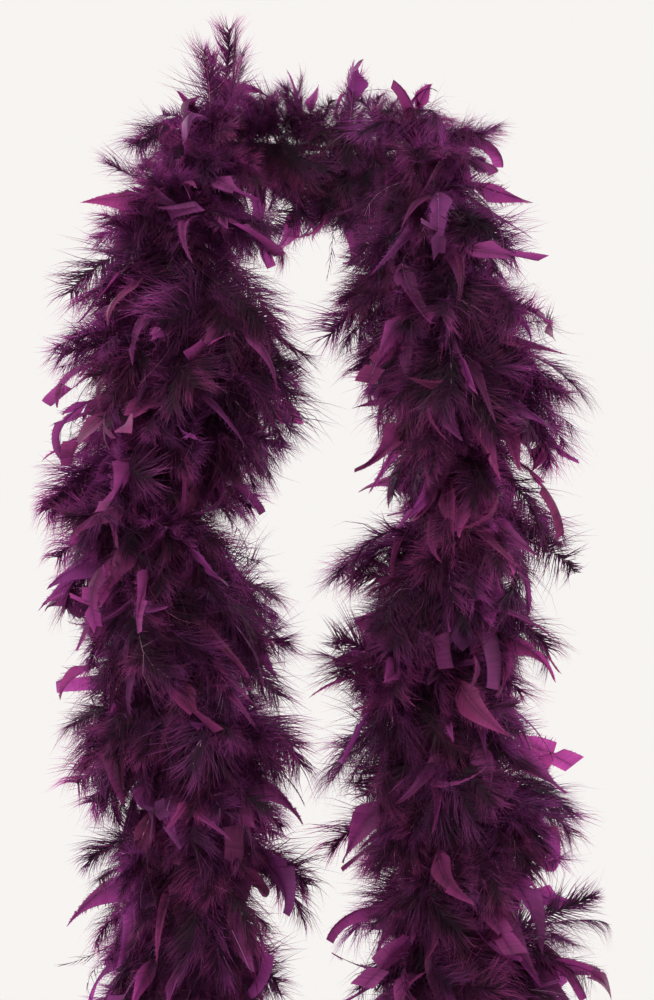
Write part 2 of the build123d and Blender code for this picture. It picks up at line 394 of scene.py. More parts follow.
def flat(g, kind):
    """Flat feather: downy at the base and a smooth blade above.
    kind: 0 pointed, 1 cut square, 2 narrow ribbon, 3 split in two or three."""
    f = Proto()
    start = {0: 0.36, 1: 0.42, 2: 0.34, 3: 0.38}[kind] + g.uniform(-0.06, 0.06)
    half = {0: 0.100, 1: 0.084, 2: 0.046, 3: 0.106}[kind] * g.uniform(0.8, 1.25)
    sway, arch, ph = g.normal(0, 0.10), g.normal(0, 0.06), g.uniform(0, 6.28)
    cup = g.uniform(-0.7, 1.5)

    def line(x):
        return np.stack([x, sway * np.sin(2.7 * x + ph) * x, arch * np.sin(3.3 * x + ph) * x], -1)

    xs = np.linspace(0, 0.985, 12)
    c = line(xs)
    f.add(*shaft(c[:, 0], c[:, 1], c[:, 2] + 0.0015, 0.0090, 0.0013))
    per_side = 30
    for side in (-1, 1):
        t = 0.10 + (start + 0.16 - 0.10) * (np.arange(per_side) + g.uniform(0.1, 0.9, per_side)) / per_side
        length = 0.25 * (1 - 0.45 * np.clip((t - start + 0.05) / 0.2, 0, 1))
        barbs(f, g, line, t, side, length, 0.0105, 76, 20, g.uniform(-0.1, 0.4), 0.2)
    # blade: rows of vertices along its barbs; rows are shared except where it has split
    nb = 22
    tt = np.linspace(start, 1.0, nb + 1)
    rel = (tt - start) / (1 - start)
    rise = np.clip(rel / 0.30, 0, 1)
    rise = rise * rise * (3 - 2 * rise)
    if kind == 0:
        shape = rise * np.clip((1.0 - rel) / 0.80, 0, 1) ** 1.15
    elif kind == 1:
        shape = rise * (1 - 0.35 * rel) * np.clip((1.0 - rel) / 0.16, 0, 1) ** 0.45
    elif kind == 2:
        shape = rise * np.clip((1.0 - rel) / 0.85, 0, 1) ** 0.85
    else:
        shape = rise * np.clip((1.0 - rel) / 0.78, 0, 1) ** 1.15
    sweep0 = np.radians({0: 24, 1: 30, 2: 16, 3: 22}[kind] + g.uniform(-5, 5))
    ne = 4
    e = np.linspace(0, 1, ne)
    fold = g.normal(0, 0.16)
    for side in (-1, 1):
        lop = g.uniform(0.65, 1.12)
        splits = set()
        count = {0: int(g.integers(0, 2)), 1: int(g.integers(0, 3)), 2: 0, 3: int(g.integers(1, 4))}[kind]
        for _ in range(count):
            splits.add(int(g.integers(5, nb - 2)))
        shift = lift = 0.0
        bump_ph = g.uniform(0, 6.28)

        def row(k, shift, lift):
            w = half * lop * shape[k] * (1 + 0.10 * math.sin(5.0 * rel[k] + bump_ph))
            sw = sweep0 * (1 - 0.35 * rel[k])
            reach = w * e
            along_quill = reach * math.tan(math.pi / 2 - sw) * 0.42 * (1 if kind != 2 else 0.5)
            x = tt[k] + along_quill * (1 - 0.85 * rel[k]) + shift * e**2
            base = line(np.full(ne, tt[k]))
            y = side * reach
            z = cup * reach**2 / max(half, 1e-3) * 0.9 + lift * e**2 * half + fold * reach
            return np.stack([base[:, 0] + (x - tt[k]), base[:, 1] + y, base[:, 2] + z], 1)

        strip, starts = [], [0]
        rows_rel = []
        for k in range(nb + 1):
            strip.append(row(k, shift, lift))
            rows_rel.append(rel[k])
            if k in splits:
                shift, lift = g.uniform(-0.030, 0.045), g.normal(0, 0.55)
                starts.append(len(strip))
                strip.append(row(k, shift, lift))
                rows_rel.append(rel[k])
        v = np.concatenate(strip)
        quads, uv = [], []
        for r in range(len(strip) - 1):
            if r + 1 in starts:
                continue
            ua, ub = 0.02 + 0.96 * rows_rel[r], 0.02 + 0.96 * rows_rel[r + 1]
            for i in range(ne - 1):
                a0, a1, b0, b1 = r * ne + i, r * ne + i + 1, (r + 1) * ne + i, (r + 1) * ne + i + 1
                # the two sides of the blade have their own strips of the feather's cell
                lo = 0.52 if side > 0 else 0.71
                va, vb = lo + 0.17 * e[i], lo + 0.17 * e[i + 1]
                qd, quv = [a0, a1, b1, b0], [[ua, va], [ua, vb], [ub, vb], [ub, va]]
                if side < 0:
                    qd, quv = qd[::-1], quv[::-1]
                quads.append(qd)
                uv.append(quv)
        f.add(v, np.array(quads), np.array(uv), np.zeros((0, 3), int), np.zeros((0, 3, 2)))
        # soft ends of the barbs past the blade's edge
        edge = v.reshape(-1, ne, 3)
        pick_rows = np.repeat(np.arange(1, len(strip) - 1), 2)
        along_edge = g.uniform(0, 1, len(pick_rows))[:, None]
        p0 = edge[pick_rows, -1] * (1 - along_edge) + edge[pick_rows - 1, -1] * along_edge
        p0 = p0 * 0.9 + edge[pick_rows, -2] * 0.1
        d0 = unit(edge[pick_rows, -1] - edge[pick_rows, -2] + np.array([0.004, 0, 0]))
        d0 = unit(d0 + g.normal(0, 0.14, (len(pick_rows), 3)))
        bend = g.normal(0, 0.35, (len(pick_rows), 3)) + np.array([0.3, 0, 0])
        bend -= d0 * (bend * d0).sum(1, keepdims=True)
        room = np.clip(1.15 - np.array(rows_rel)[pick_rows], 0.2, 1)
        length = 0.075 * room * g.uniform(0.3, 1.2, len(pick_rows))
        f.add(*ribbons(p0, d0, bend, length, np.full(len(pick_rows), 0.0062), unit(g.normal(0, 0.5, (len(pick_rows), 3)) + np.array([0, 0, 1.0])),
                       0.03 + 0.94 * np.clip(p0[:, 0], 0, 1), 0.30, 0.48, 2))
    return f.done()


protos_g = np.random.default_rng(77)
PLUMES = [plume(protos_g, k % 4 == 3) for k in range(24)]
FLATS = [flat(protos_g, (0, 3, 0, 2, 0, 3, 1 if k == 6 else 0, 0, 3, 2)[k % 10]) for k in range(30)]

# ------------------------------------------------------------------ placing feathers
def clear_of_neck(v):
    """Down that would stand in the wearer's neck is pressed back against it."""
    d = v[:, :2] - NECK_AXIS
    rho = np.linalg.norm(d, axis=1)
    hold = np.clip((v[:, 2] + 0.085) / 0.035, 0, 1) * np.clip((0.12 - v[:, 2]) / 0.03, 0, 1)
    wall = 0.054
    inside = rho < wall + 0.012
    pressed = wall + 0.012 * np.exp((rho - wall - 0.012) / 0.020)
    new = np.where(inside, pressed - 0.012 * 0.0, rho)
    new = np.where(inside, np.maximum(new, rho), rho)
    k = 1 + (new / np.maximum(rho, 1e-4) - 1) * hold
    out = v.copy()
    out[:, :2] = NECK_AXIS + d * k[:, None]
    return out


ROOM = []
for low, high in zip(*CAD_BOX):
    spare = 0.03 * (high - low) + 0.0085
    ROOM.append((low - spare, high + spare))


def keep_in(v):
    """The longest tips bend round rather than pass the outline."""
    out = v.copy()
    m = 0.014
    for k, (low, high) in enumerate(ROOM):
        over = np.maximum(out[:, k] - (high - m), 0)
        out[:, k] -= over - m * (1 - np.exp(-over / m))
        over = np.maximum((low + m) - out[:, k], 0)
        out[:, k] += over - m * (1 - np.exp(-over / m))
    return out


GRID = np.linspace(-0.1, 1.5, 161)


def bend_table(k, even):
    """Angle and place along a quill whose bend of k radians tightens towards its tip."""
    u = np.maximum(GRID, 0)
    th = k * (even * u + (1 - even) * np.minimum(u, 1.25) ** 2)
    step = GRID[1] - GRID[0]
    cx, cz = np.cos(th), np.sin(th)
    x = np.concatenate([[0], np.cumsum((cx[1:] + cx[:-1]) / 2)]) * step
    z = np.concatenate([[0], np.cumsum((cz[1:] + cz[:-1]) / 2)]) * step
    zero = 10
    return th, x - x[zero], z - z[zero]


def place(protos, which, size, origin, x_axis, z_axis, curve, even, twist, cells, grid):
    """Copies of feathers, each bent by curve radians and twisted over its length, as one set of arrays."""
    vs, qs, ts, uqs, uts, n = [], [], [], [], [], 0
    y_axis = np.cross(z_axis, x_axis)
    for i in range(len(which)):
        f = protos[which[i]]
        x, y, z = f.v[:, 0], f.v[:, 1], f.v[:, 2]
        ang = twist[i] * x
        y, z = y * np.cos(ang) - z * np.sin(ang), y * np.sin(ang) + z * np.cos(ang)
        tht, xt, zt = bend_table(curve[i], even[i])
        th, cx, cz = np.interp(x, GRID, tht), np.interp(x, GRID, xt), np.interp(x, GRID, zt)
        lx, lz = cx - z * np.sin(th), cz + z * np.cos(th)
        v = origin[i] + size[i] * (lx[:, None] * x_axis[i] + y[:, None] * y_axis[i] + lz[:, None] * z_axis[i])
        col, row = cells[i] % grid, cells[i] // grid
        off = np.array([col, row]) / grid
        sc = 0.94 / grid
        pad = 0.03 / grid
        vs.append(v)
        qs.append(f.q + n)
        ts.append(f.t + n)
        uqs.append(f.uq * sc + off + pad)
        uts.append(f.ut * sc + off + pad)
        n += len(v)
    return (np.concatenate(vs), np.concatenate(qs), np.concatenate(ts), np.concatenate(uqs), np.concatenate(uts))


def feather_axes(s, phi, lean, roll, g):
    t = along(s)
    helper = np.where(np.abs(t[:, 2:3]) > 0.8, np.array([[1.0, 0, 0]]), np.array([[0, 0, 1.0]]))
    e1 = unit(helper - t * (helper * t).sum(1, keepdims=True))
    e2 = np.cross(t, e1)
    radial = e1 * np.cos(phi)[:, None] + e2 * np.sin(phi)[:, None]
    down_tail = t * np.where(s < NAPE_S, -1, 1)[:, None]
    near_nape = np.clip(np.abs(s - NAPE_S) / 0.12, 0, 1)[:, None]
    x_axis = unit(radial + down_tail * (lean[:, None] * near_nape))
    pull = np.array([[0, 0, -1.0]]) + down_tail * 0.35 * near_nape + g.normal(0, 0.30, (len(s), 3))
    z_axis = pull - x_axis * (pull * x_axis).sum(1, keepdims=True)
    z_axis = unit(z_axis)
    y_axis = np.cross(z_axis, x_axis)
    z_axis = unit(z_axis * np.cos(roll)[:, None] + y_axis * np.sin(roll)[:, None])
    return radial, x_axis, z_axis


def end_in_room(size, origin, x_axis, z_axis, curve):
    """Feathers at the tails' ends are short enough to end above the lowest point allowed."""
    c = np.maximum(np.abs(curve), 0.05)
    tip = (np.sin(c) / c) * x_axis[:, 2] + np.sign(curve) * ((1 - np.cos(c)) / c) * z_axis[:, 2]
    low = np.minimum(tip, 0.6 * x_axis[:, 2]) * 1.12 - 0.10
    allowed = origin[:, 2] - (ROOM[2][0] + 0.006)
    return size * np.clip(allowed / np.maximum(-low * size, 1e-4), 0.40, 1.0)


CLUMPS = 440
PER_CLUMP = 7
FILL = 600
NAPE_FILL = 150
N_FLATS = 900
g = np.random.default_rng(4021)
cs = (np.arange(CLUMPS) + g.uniform(-0.45, 0.45, CLUMPS) + 0.5) / CLUMPS * (LENGTH - 0.012) + 0.006
cphi = (np.arange(CLUMPS) * 2.39996 + g.uniform(-0.55, 0.55, CLUMPS)) % (2 * math.pi)
clean = g.normal(0.30, 0.36, CLUMPS)
ccurve = np.clip(g.normal(1.0, 0.45, CLUMPS), 0.15, 1.9)
cbeta = np.clip(g.normal(0.97, 0.15, CLUMPS), 0.6, 1.2)
s_all = np.concatenate([np.repeat(cs, PER_CLUMP) + g.normal(0, 0.0035, CLUMPS * PER_CLUMP),
                        g.uniform(0.004, LENGTH - 0.004, FILL - NAPE_FILL),
                        NAPE_S + g.uniform(-0.085, 0.085, NAPE_FILL)])
s_all = np.clip(s_all, 0.004, LENGTH - 0.004)
n_all = len(s_all)
short = np.arange(n_all) >= CLUMPS * PER_CLUMP


def per_feather(clump_values, filler):
    return np.concatenate([np.repeat(clump_values, PER_CLUMP), filler])


phi = per_feather(cphi, g.uniform(0, 2 * math.pi, FILL)) + g.normal(0, 0.20, n_all)
lean = per_feather(clean, g.normal(0.2, 0.4, FILL)) + g.normal(0, 0.13, n_all)
curve = per_feather(ccurve, g.uniform(0.2, 1.2, FILL)) * g.uniform(0.75, 1.25, n_all)
beta = per_feather(cbeta, g.uniform(0.45, 0.70, FILL)) * g.uniform(0.74, 1.05, n_all)
roll = g.normal(0, 0.55, n_all)
radial, xa, za = feather_axes(s_all, phi, lean, roll, g)
reach = reach_at(s_all, radial) * beta + np.where(short, 0.0, 0.001)
far = np.clip((reach / beta - 0.080) / 0.020, 0, 1)
curve = curve * (1 - 0.28 * far)
straight = np.sin(np.minimum(curve, 2.0)) / curve            # share of its length a bent feather reaches
lean_loss = 1 / np.sqrt(1 + lean**2)
size = np.clip(reach / np.maximum(straight * lean_loss, 0.50) - 0.006, 0.026, 0.098 + 0.013 * far)
origin = at(s_all) + radial * 0.0022
size = end_in_room(size, origin, xa, za, curve)
twist = g.normal(0, 0.5, n_all)
even = g.uniform(0.35, 1.0, n_all)
which = g.integers(0, len(PLUMES), n_all)



def bare_quill(g):
    """A quill that lost its barbs: thin, curved, with a few wisps near its end."""
    f = Proto()
    a1, a2, ph = g.normal(0, 0.16), g.normal(0, 0.12), g.uniform(0, 6.28)

    def line(x):
        return np.stack([x, a1 * np.sin(2.9 * x + ph) * x, a2 * np.sin(3.7 * x + ph) * x], -1)

    c = line(np.linspace(0, 1, 14))
    f.add(*shaft(c[:, 0], c[:, 1], c[:, 2], 0.0052, 0.0012))
    for side in (-1, 1):
        t = 0.55 + 0.44 * np.sort(g.uniform(0, 1, 9))
        barbs(f, g, line, t, side, np.full(9, 0.12), 0.0050, 60, 22, 0.1, 0.2)
    return f.done()


DOWN_GRID = 16
made = []
for body in ORDER:
    lo, hi = SPANS[body]
    idx = np.nonzero((s_all >= lo) & (s_all < hi))[0]
    idx = idx[np.argsort(s_all[idx])]
    parts = max(1, math.ceil(len(idx) / 225))
    for part, chunk in enumerate(np.array_split(idx, parts)):
        cells = g.permutation(DOWN_GRID * DOWN_GRID)[: len(chunk)]
        v, q, t, uq, ut = place(PLUMES, which[chunk], size[chunk], origin[chunk], xa[chunk], za[chunk],
                                curve[chunk], even[chunk], twist[chunk], cells, DOWN_GRID)
        if body == "neck_section":
            v = clear_of_neck(v)
        v = keep_in(v)
        name = "down_" + body + "_" + "abcdefghij"[part]
        ob = make_mesh(name, v, q, t, uq, ut)
        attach(ob, body)
        made.append((ob, body, "down", part))

# flat feathers
fs = (np.arange(N_FLATS) + g.uniform(-0.5, 0.5, N_FLATS) + 0.5) / N_FLATS * (LENGTH - 0.016) + 0.008
fphi = (np.arange(N_FLATS) * 2.39996 * 1.13 + g.uniform(-0.8, 0.8, N_FLATS)) % (2 * math.pi)
flean = g.normal(0.72, 0.42, N_FLATS)
fcurve = np.where(g.uniform(0, 1, N_FLATS) < 0.2, g.uniform(1.8, 3.0, N_FLATS), g.normal(1.15, 0.65, N_FLATS))
froll = g.normal(0, 0.6, N_FLATS)
fradial, fxa, fza = feather_axes(fs, fphi, flean, froll, g)
fbeta = np.clip(g.normal(1.22, 0.14, N_FLATS), 0.9, 1.5)
high = np.clip((at(fs)[:, 2] + 0.050) / 0.040, 0, 1) * np.clip(0.35 + fradial[:, 2], 0, 1)
freach = (reach_at(fs, fradial) + 0.010) * fbeta * (1 - 0.42 * high)
fcurve = fcurve + 0.7 * high
fstraight = np.sin(np.clip(np.abs(fcurve), 0.05, 2.2)) / np.clip(np.abs(fcurve), 0.05, 9)
fsize = np.clip(freach / np.maximum(fstraight / np.sqrt(1 + flean**2), 0.5), 0.036, 0.112)
forigin = at(fs) + fradial * 0.0024
fsize = end_in_room(fsize, forigin, fxa, fza, fcurve)
ftwist = g.normal(0, 0.9, N_FLATS)
feven = g.uniform(0.0, 0.8, N_FLATS)
QUILLS = [bare_quill(g) for _ in range(8)]
FLATS = FLATS + QUILLS
fwhich = g.integers(0, len(FLATS) - len(QUILLS), N_FLATS)
bare = g.uniform(0, 1, N_FLATS) < 0.11
fwhich = np.where(bare, len(FLATS) - len(QUILLS) + g.integers(0, len(QUILLS), N_FLATS), fwhich)
FLAT_GRID = 8
p = at(fs)
away = p[:, :2] - NECK_AXIS
to_neck = -(fradial[:, :2] * away).sum(1) / np.linalg.norm(away, axis=1)
kept = (to_neck < 0.25) | (p[:, 2] < -0.10)
for body in ORDER:
    lo, hi = SPANS[body]
    idx = np.nonzero((fs >= lo) & (fs < hi) & kept)[0]
    parts = max(1, math.ceil(len(idx) / 62))
    for part, chunk in enumerate(np.array_split(idx, parts)):
        cells = g.permutation(FLAT_GRID * FLAT_GRID)[: len(chunk)]
        v, q, t, uq, ut = place(FLATS, fwhich[chunk], fsize[chunk], forigin[chunk], fxa[chunk], fza[chunk],
                                fcurve[chunk], feven[chunk], ftwist[chunk], cells, FLAT_GRID)
        if body == "neck_section":
            v = clear_of_neck(v)
        v = keep_in(v)
        name = "flats_" + body + "_" + "abcdefghij"[part]
        ob = make_mesh(name, v, q, t, uq, ut)
        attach(ob, body)
        made.append((ob, body, "flats", part))

for body in ORDER:
    nodes = [n for n, o in frame["nodes"].items() if o["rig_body"] == body]
    down_nodes = [n for n in nodes if n.startswith("down_tufts")]
    flat_nodes = [n for n in nodes if n.startswith("flat_feathers")]
    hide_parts(*down_nodes)
    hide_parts(*flat_nodes)


# ------------------------------------------------------------------ materials
def new_material(name):
    m = bpy.data.materials.new(name)
    m.use_nodes = True
    nt = m.node_tree
    nt.nodes.clear()
    return m, nt


def node(nt, kind, **inputs):
    n = nt.nodes.new(kind)
    for k, val in inputs.items():
        setattr(n, k, val)
    return n


def math_node(nt, op, a, b=None, c=None, clamp=False):
    n = nt.nodes.new("ShaderNodeMath")
    n.operation = op
    n.use_clamp = clamp
    for i, x in enumerate((a, b, c)):
        if x is None:
            continue
        if isinstance(x, (int, float)):
            n.inputs[i].default_value = x
        else:
            nt.links.new(x, n.inputs[i])
    return n.outputs[0]


def ramp(nt, fac, stops):
    n = nt.nodes.new("ShaderNodeValToRGB")
    n.color_ramp.interpolation = "EASE"
    while len(n.color_ramp.elements) > 1:
        n.color_ramp.elements.remove(n.color_ramp.elements[-1])
    n.color_ramp.elements[0].position = stops[0][0]
    n.color_ramp.elements[0].color = (*stops[0][1], 1)
    for p, c in stops[1:]:
        el = n.color_ramp.elements.new(p)
        el.color = (*c, 1)
    nt.links.new(fac, n.inputs[0])
    return n.outputs[0]


def mix_rgb(nt, fac, a, b, blend="MIX"):
    n = nt.nodes.new("ShaderNodeMix")
    n.data_type = "RGBA"
    n.blend_type = blend
    for sock, x in ((n.inputs[0], fac), (n.inputs[6], a), (n.inputs[7], b)):
        if isinstance(x, (int, float)):
            sock.default_value = x
        elif isinstance(x, tuple):
            sock.default_value = (*x, 1)
        else:
            nt.links.new(x, sock)
    return n.outputs[2]


def feather_material(name, grid, flats):
    m, nt = new_material(name)
    out = node(nt, "ShaderNodeOutputMaterial")
    uv = node(nt, "ShaderNodeUVMap", uv_map="OFBake")
    scale = node(nt, "ShaderNodeVectorMath", operation="SCALE")
    scale.inputs[3].default_value = grid
    nt.links.new(uv.outputs[0], scale.inputs[0])
    cell = node(nt, "ShaderNodeVectorMath", operation="FLOOR")
    frac = node(nt, "ShaderNodeVectorMath", operation="FRACTION")
    nt.links.new(scale.outputs[0], cell.inputs[0])
    nt.links.new(scale.outputs[0], frac.inputs[0])
    noise = node(nt, "ShaderNodeTexWhiteNoise", noise_dimensions="3D")
    nt.links.new(cell.outputs[0], noise.inputs[0])
    sep = node(nt, "ShaderNodeSeparateXYZ")
    nt.links.new(frac.outputs[0], sep.inputs[0])
    sepn = node(nt, "ShaderNodeSeparateColor")
    nt.links.new(noise.outputs["Color"], sepn.inputs[0])
    r1, r2, r3 = sepn.outputs[0], sepn.outputs[1], sepn.outputs[2]
    t, v = sep.outputs[0], sep.outputs[1]
    # down barbs: dark where they leave the quill, clearer towards their tips; the dark root end is partly the down's
    # own colour and partly painted shade deep in the fluff
    s = math_node(nt, "MULTIPLY", v, 2.08, clamp=True)
    down = ramp(nt, s, [(0.0, (0.008, 0.0030, 0.0064)), (0.40, (0.022, 0.0062, 0.0165)), (0.75, (0.088, 0.0190, 0.064)), (1.0, (0.225, 0.047, 0.170))])
    # painted shade and light: each feather is darkened towards its quill's end near the core and lightened towards
    # its tip, standing in for shade inside the boa and light at its outline
    painted_core_shade_tip_light = math_node(nt, "MULTIPLY_ADD", math_node(nt, "POWER", t, 1.8), 1.20, 0.22)
    down = mix_rgb(nt, 1.0, down, painted_core_shade_tip_light, "MULTIPLY")
    streak = node(nt, "ShaderNodeTexNoise", noise_dimensions="2D")
    comb = node(nt, "ShaderNodeCombineXYZ")
    nt.links.new(math_node(nt, "MULTIPLY", t, 38.0), comb.inputs[0])
    nt.links.new(math_node(nt, "MULTIPLY_ADD", r3, 40.0, math_node(nt, "MULTIPLY", v, 1.6)), comb.inputs[1])
    nt.links.new(comb.outputs[0], streak.inputs["Vector"])
    streak.inputs["Scale"].default_value = 1.0
    streak.inputs["Detail"].default_value = 2.0
    # blade: satin, a little clearer along its edges and its tip
    e = math_node(nt, "MODULO", math_node(nt, "SUBTRACT", v, 0.52), 0.19)
    e = math_node(nt, "MULTIPLY", e, 5.9, clamp=True)
    blade = ramp(nt, e, [(0.0, (0.058, 0.011, 0.040)), (0.6, (0.102, 0.0195, 0.070)), (1.0, (0.136, 0.0285, 0.096))])
    blade = mix_rgb(nt, 1.0, blade, math_node(nt, "MULTIPLY_ADD", streak.outputs[0], 0.9, 0.52), "MULTIPLY")
    is_blade = math_node(nt, "GREATER_THAN", v, 0.505)
    col = mix_rgb(nt, is_blade, down, blade)
    quill = ramp(nt, t, [(0.0, (0.10, 0.034, 0.07)), (0.5, (0.075, 0.016, 0.05)), (1.0, (0.050, 0.010, 0.036))])
    # painted highlight: about one feather in six has its quill lightened towards pale pink as a painted glint
    pale = math_node(nt, "GREATER_THAN", r3, 0.84)
    quill = mix_rgb(nt, math_node(nt, "MULTIPLY", pale, 0.75), quill, (0.42, 0.22, 0.34))
    is_quill = math_node(nt, "GREATER_THAN", v, 0.885)
    col = mix_rgb(nt, is_quill, col, quill)
    # painted highlight: the band above v 0.962, where the thin glint barbs lie, is painted pale as glints on fine
    # barbs
    col = mix_rgb(nt, math_node(nt, "GREATER_THAN", v, 0.962), col, (0.24, 0.115, 0.20))
    # each feather took the dye a little differently
    col = mix_rgb(nt, 1.0, col, math_node(nt, "MULTIPLY_ADD", r1, 0.75, 0.66), "MULTIPLY")
    warm = mix_rgb(nt, 1.0, col, (1.18, 0.92, 0.86), "MULTIPLY")
    cool = mix_rgb(nt, 1.0, col, (0.90, 0.98, 1.10), "MULTIPLY")
    col = mix_rgb(nt, r2, warm, cool)
    place_co = node(nt, "ShaderNodeTexCoord")
    patch = node(nt, "ShaderNodeTexNoise")
    patch.inputs["Scale"].default_value = 26.0
    patch.inputs["Detail"].default_value = 1.0
    nt.links.new(place_co.outputs["Object"], patch.inputs["Vector"])
    dark = math_node(nt, "MULTIPLY_ADD", patch.outputs[0], 3.0, -0.52)
    hold = math_node(nt, "MULTIPLY", math_node(nt, "MAXIMUM", math_node(nt, "POWER", s, 2.0), is_blade), 0.60)
    dark = math_node(nt, "MULTIPLY_ADD", math_node(nt, "SUBTRACT", 1.08, dark), hold, dark)
    col = mix_rgb(nt, 1.0, col, dark, "MULTIPLY")
    bsdf = node(nt, "ShaderNodeBsdfPrincipled")
    nt.links.new(col, bsdf.inputs["Base Color"])
    rough = math_node(nt, "MULTIPLY_ADD", streak.outputs[0], 0.25, 0.46 if flats else 0.50)
    nt.links.new(rough, bsdf.inputs["Roughness"])
    bsdf.inputs["Specular IOR Level"].default_value = 0.10 if flats else 0.16
    bsdf.inputs["Sheen Weight"].default_value = 0.04 if flats else 0.10
    bsdf.inputs["Sheen Roughness"].default_value = 0.45
    bsdf.inputs["Sheen Tint"].default_value = (0.75, 0.25, 0.60, 1)
    trans = node(nt, "ShaderNodeBsdfTranslucent")
    glow = mix_rgb(nt, 1.0, col, (2.8, 1.7, 2.6), "MULTIPLY")
    glow = mix_rgb(nt, 0.34, glow, (0.46, 0.075, 0.40))
    nt.links.new(glow, trans.inputs[0])
    mixs = node(nt, "ShaderNodeMixShader")
    mixs.inputs[0].default_value = 0.42 if flats else 0.52
    nt.links.new(bsdf.outputs[0], mixs.inputs[1])
    nt.links.new(trans.outputs[0], mixs.inputs[2])
    nt.links.new(mixs.outputs[0], out.inputs[0])
    return m


DOWN = feather_material("dyed_down", DOWN_GRID, False)
FLAT = feather_material("dyed_flats", FLAT_GRID, True)
for ob, body, kind, part in made:
    ob.data.materials.append(DOWN if kind == "down" else FLAT)


def tube_along(centre, radius, sides, u0, u1, closed_ends=True):
    """Round tube along given points, with its own strip of the UV square."""
    c = np.asarray(centre)
    tan = unit(np.gradient(c, axis=0))
    ref = np.array([0.31, 0.87, 0.38])
    e1 = unit(np.cross(tan, ref))
    e2 = np.cross(tan, e1)
    ang = np.arange(sides) * 2 * math.pi / sides
    r = np.broadcast_to(np.asarray(radius, float), (len(c),))
    v = c[:, None] + r[:, None, None] * (e1[:, None] * np.cos(ang)[None, :, None] + e2[:, None] * np.sin(ang)[None, :, None])
    n = len(c)
    i, j = np.meshgrid(np.arange(n - 1), np.arange(sides), indexing="ij")
    k = (j + 1) % sides
    q = np.stack([i * sides + j, i * sides + k, (i + 1) * sides + k, (i + 1) * sides + j], -1).reshape(-1, 4)
    uu = lambda x: u0 + (u1 - u0) * x / sides
    vv = lambda x: 0.01 + 0.98 * x / (n - 1)
    uv = np.stack([np.stack([uu(j), vv(i)], -1), np.stack([uu(j + 1), vv(i)], -1),
                   np.stack([uu(j + 1), vv(i + 1)], -1), np.stack([uu(j), vv(i + 1)], -1)], 2).reshape(-1, 4, 2)
    verts = v.reshape(-1, 3)
    if closed_ends:
        verts = np.concatenate([verts, c[:1], c[-1:]])
        a, b = len(verts) - 2, len(verts) - 1
        t1 = np.array([[a, (m + 1) % sides, m] for m in range(sides)])
        t2 = np.array([[b, (n - 1) * sides + m, (n - 1) * sides + (m + 1) % sides] for m in range(sides)])
        t = np.concatenate([t1, t2])
        ut = np.tile(np.array([[[u0, 0.001], [u0 + 0.004, 0.001], [u0, 0.004]]]), (len(t), 1, 1))
    else:
        t, ut = np.zeros((0, 3), int), np.zeros((0, 3, 2))
    return verts, q, uv, t, ut


def two_ply(centre, gap=0.00102, radius=0.00098, pitch=0.0085, phase=0.0, sides=9):
    """Two plies laid round each other along a centreline."""
    c = np.asarray(centre)
    run = np.concatenate([[0], np.cumsum(np.linalg.norm(np.diff(c, axis=0), axis=1))])
    steps = max(8, int(run[-1] / 0.0009))
    at_s = np.linspace(0, run[-1], steps)
    line = np.stack([np.interp(at_s, run, c[:, k]) for k in range(3)], -1)
    tan = unit(np.gradient(line, axis=0))
    # a frame that doesn't spin: carried along the line
    e1 = np.zeros_like(line)
    start = np.cross(tan[0], [0.2, 0.9, 0.4])
    e1[0] = start / np.linalg.norm(start)
    for i in range(1, steps):
        w = e1[i - 1] - tan[i] * (e1[i - 1] @ tan[i])
        e1[i] = w / np.linalg.norm(w)
    e2 = np.cross(tan, e1)
    th = (2 * math.pi * at_s / pitch + phase)[:, None]
    f = Proto()
    for k, (u0, u1) in enumerate(((0.02, 0.48), (0.52, 0.98))):
        off = e1 * np.cos(th + math.pi * k) + e2 * np.sin(th + math.pi * k)
        f.add(*tube_along(line + off * gap, radius, sides, u0, u1))
    return f.done()


def mesh_of(f, name):
    return make_mesh(name, f.v, f.q, f.t, f.uq, f.ut)


def nodes_of(body, start):
    return [n for n, o in frame["nodes"].items() if o["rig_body"] == body and n.startswith(start)]


MIDDLE = {b: (SPANS[b][0] + SPANS[b][1]) / 2 for b in ORDER}
strings, threads = [], []
n_mid = ORDER.index("neck_section")
neck_lo, neck_hi = SPANS["neck_section"]
join_l, join_r = neck_lo + 0.07, neck_hi - 0.07
runs = []
for k in range(len(ORDER) - 1):
    a_body, b_body = ORDER[k], ORDER[k + 1]
    s0 = 0.0 if k == 0 else (join_r if a_body == "neck_section" else MIDDLE[a_body])
    s1 = LENGTH if k == len(ORDER) - 2 else (join_l if b_body == "neck_section" else MIDDLE[b_body])
    runs.append((s0, s1, a_body, b_body, SPANS[a_body][1]))
for s0, s1, a_body, b_body, cut in runs:
    ss = np.linspace(s0, s1, int((s1 - s0) / 0.002) + 2)
    own = b_body if a_body == "neck_section" or a_body.startswith("right") else a_body
    ob = mesh_of(two_ply(at(ss), phase=2 * math.pi * s0 / 0.0085), "string_" + own)
    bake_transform(ob)
    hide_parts(*nodes_of(own, "core_ply"))
    strings.append((ob, ss))
ss = np.linspace(join_l, join_r, int((join_r - join_l) / 0.002) + 2)
ob = mesh_of(two_ply(at(ss), phase=2 * math.pi * join_l / 0.0085), "string_neck_section")
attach(ob, "neck_section")
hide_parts(*nodes_of("neck_section", "core_ply"))
strings.append((ob, ss))

